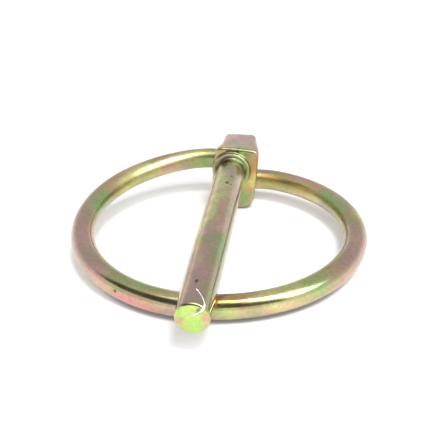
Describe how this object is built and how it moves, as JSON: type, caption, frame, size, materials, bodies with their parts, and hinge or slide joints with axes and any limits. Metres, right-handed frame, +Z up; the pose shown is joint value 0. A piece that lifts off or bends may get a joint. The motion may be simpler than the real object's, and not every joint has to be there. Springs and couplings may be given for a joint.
{
  "type": "lynch pin",
  "caption": "Lynch pin with a round shank, a block head and a sprung wire ring that swings round the tip to lock it.",
  "frame": {"origin": "on the table, in the middle of the part's box seen from above", "axes": "+Y from the tip towards the head, +Z up from the table that the pin lies on, +X to the right seen from the tip"},
  "size_m": [0.0444, 0.0526, 0.0112],
  "materials": {
    "plated_steel": "iridescent yellow chromate over zinc, glossy",
    "plated_spring_wire": "iridescent yellow chromate over zinc, glossy"
  },
  "bodies": {
    "pin": {"pin": "plated_steel"},
    "ring": {"ring": "plated_spring_wire"}
  },
  "joints": [
    {"name": "ring_swing", "type": "hinge", "parent": "pin", "child": "ring", "pos_m": [0.0006, 0.02253, 0.00515], "axis": [1, 0, 0], "range_deg": [0, 175], "deforming": ["ring"]}
  ]
}
